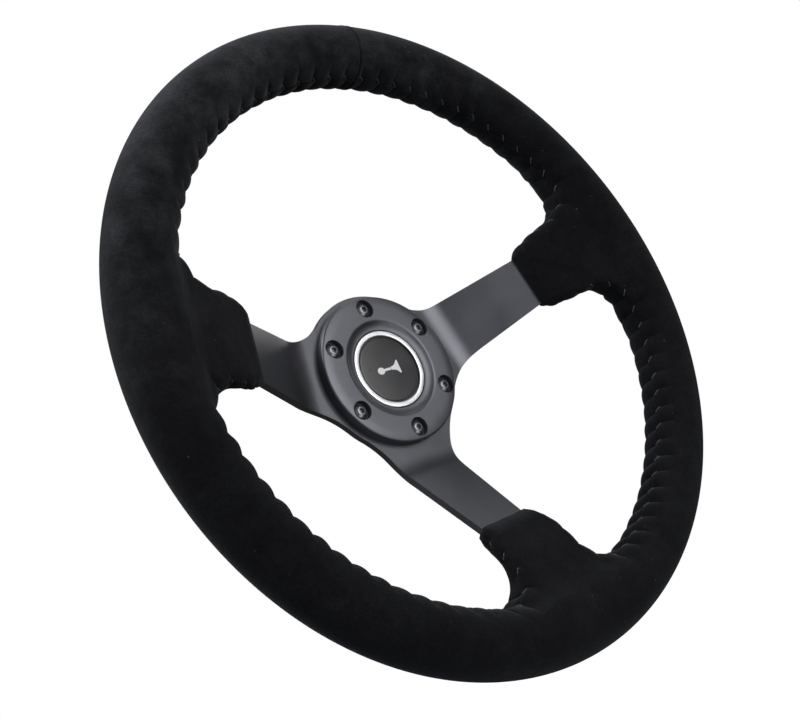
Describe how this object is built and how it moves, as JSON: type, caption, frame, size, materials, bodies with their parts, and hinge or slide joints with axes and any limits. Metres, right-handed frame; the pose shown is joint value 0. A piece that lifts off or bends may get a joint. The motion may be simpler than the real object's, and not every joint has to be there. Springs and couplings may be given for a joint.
{
  "type": "steering wheel",
  "caption": "Deep-dish steering wheel with bent flat spokes, a suede-covered rim and a sprung horn button clamped by a bolted ring.",
  "frame": {"origin": "centre of the mounting face at the back of the hub, on the wheel's axis", "axes": "+Y along the wheel's axis, out of the back of the hub towards the column, so the driver is at -Y; +Z towards 12 o'clock with the wheel straight ahead; +X to the driver's right"},
  "size_m": [0.35, 0.0954, 0.35],
  "materials": {
    "satin_black_alloy": "satin black anodised",
    "plain_steel": "bright zinc",
    "foam": "moulded self-skinning foam",
    "suede": "black suede with a short nap",
    "thread": "black bonded thread",
    "black_steel": "black oxide",
    "black_plastic": "moulded",
    "gasket_rubber": "soft",
    "bright_bezel": "turned and polished",
    "gloss_black_cap": "semi-gloss",
    "contact_brass": "plain",
    "insulator": "phenolic board"
  },
  "bodies": {
    "wheel": {"spoke_frame": "satin_black_alloy", "rim_hoop": "plain_steel", "hoop_welds": "plain_steel", "grip_foam": "foam", "suede_wrap": "suede", "rim_stitching": "thread", "horn_ring": "satin_black_alloy", "ring_screws": "black_steel", "button_housing": "black_plastic", "housing_gasket": "gasket_rubber", "retaining_ring": "plain_steel", "return_springs": "plain_steel", "ground_ring": "contact_brass", "contact_stud": "contact_brass", "insulator_disc": "insulator", "rear_cover": "black_plastic", "cover_screws": "plain_steel", "live_terminal": "contact_brass", "ground_terminal": "contact_brass", "ground_rivet": "contact_brass"},
    "horn_button": {"button_plunger": "black_plastic", "bezel_ring": "bright_bezel", "button_cap": "gloss_black_cap", "upper_contact": "contact_brass"}
  },
  "joints": [
    {"name": "horn_press", "type": "slide", "parent": "wheel", "child": "horn_button", "axis": [0, 1, 0], "range_m": [0, 0.0018], "stiffness_N_per_m": 4000, "springref_m": -0.001, "deforming": ["return_springs"]}
  ]
}
